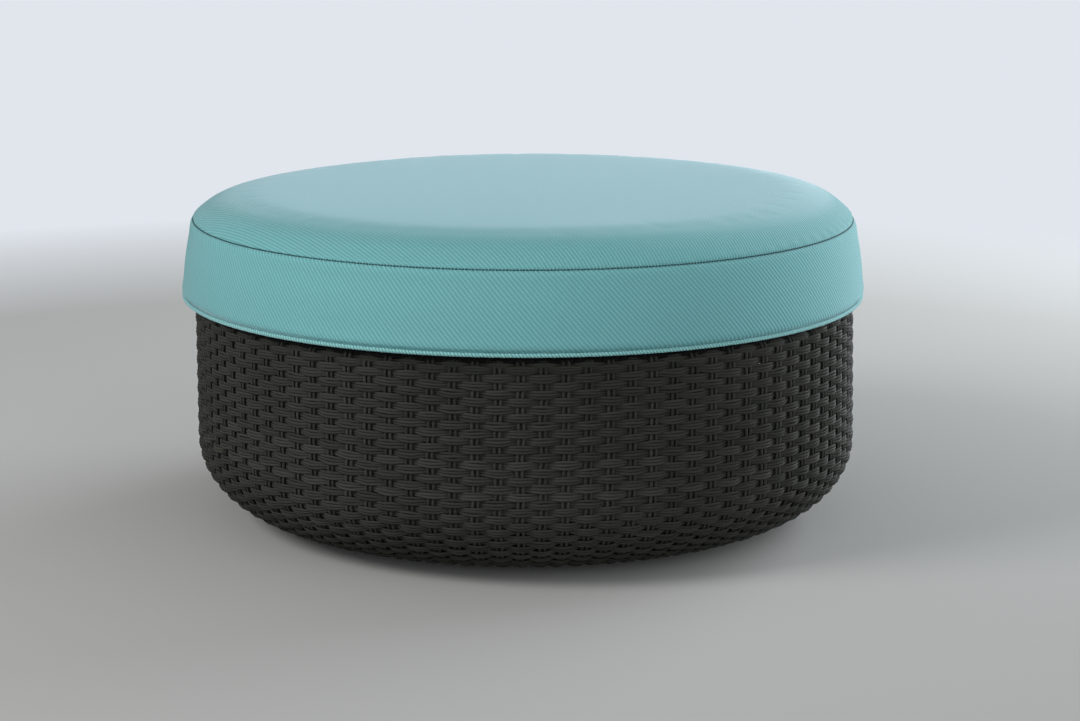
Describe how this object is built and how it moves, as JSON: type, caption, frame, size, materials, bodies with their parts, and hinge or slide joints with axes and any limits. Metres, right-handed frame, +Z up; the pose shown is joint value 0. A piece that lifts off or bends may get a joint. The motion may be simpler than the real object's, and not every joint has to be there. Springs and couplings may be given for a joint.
{
  "type": "outdoor ottoman footstool",
  "caption": "Round outdoor ottoman: woven bowl-shaped base on a hooped aluminium frame, with a loose box cushion that has a crowned top, a piped lower edge and a zip in the rear.",
  "frame": {"origin": "on the floor, under the middle of the ottoman, where the glides' undersides lie", "axes": "+Z up; -Y towards the front that the picture shows, +X to the right of that view; the zip is at the rear, +Y"},
  "size_m": [0.9, 0.9, 0.4325],
  "materials": {
    "woven_fibre": "matte",
    "coated_aluminium": "satin",
    "nylon": "matte",
    "stainless_steel": "satin",
    "cover_fabric": "matte",
    "piping_fabric": "matte",
    "foam": "matte",
    "fibre_fill": "matte",
    "zip_tape": "matte",
    "zip_coil": "satin"
  },
  "bodies": {
    "base": {"side_weave": "woven_fibre", "deck_weave": "woven_fibre", "top_hoop": "coated_aluminium", "waist_hoop": "coated_aluminium", "upper_bend_hoop": "coated_aluminium", "lower_bend_hoop": "coated_aluminium", "base_hoop": "coated_aluminium", "rib_1": "coated_aluminium", "rib_2": "coated_aluminium", "rib_3": "coated_aluminium", "rib_4": "coated_aluminium", "rib_5": "coated_aluminium", "rib_6": "coated_aluminium", "rib_7": "coated_aluminium", "rib_8": "coated_aluminium", "deck_bar_left": "coated_aluminium", "deck_bar_right": "coated_aluminium", "deck_cross_front": "coated_aluminium", "deck_cross_rear": "coated_aluminium", "deck_stub_front_left": "coated_aluminium", "deck_stub_front_right": "coated_aluminium", "deck_stub_rear_left": "coated_aluminium", "deck_stub_rear_right": "coated_aluminium", "glide_1": "nylon", "glide_2": "nylon", "glide_3": "nylon", "glide_4": "nylon", "glide_screw_1": "stainless_steel", "glide_screw_2": "stainless_steel", "glide_screw_3": "stainless_steel", "glide_screw_4": "stainless_steel"},
    "cushion": {"cover_top": "cover_fabric", "cover_band": "cover_fabric", "cover_bottom": "cover_fabric", "piping": "piping_fabric", "foam_core": "foam", "fibre_layer": "fibre_fill", "zip_tape": "zip_tape", "zip_coil": "zip_coil"},
    "zip_slider": {"zip_slider": "stainless_steel"},
    "zip_pull": {"zip_pull": "stainless_steel"}
  },
  "joints": [
    {"name": "cushion_lift", "type": "slide", "parent": "base", "child": "cushion", "axis": [0, 0, 1], "range_m": [0, 0.25]},
    {"name": "zip_travel", "type": "hinge", "parent": "cushion", "child": "zip_slider", "pos_m": [0, 0, 0.3175], "axis": [0, 0, 1], "range_deg": [0, 144]},
    {"name": "zip_pull_turn", "type": "hinge", "parent": "zip_slider", "child": "zip_pull", "pos_m": [0.43188, 0.14033, 0.3175], "axis": [0, 0, 1], "range_deg": [-175, 0]}
  ]
}
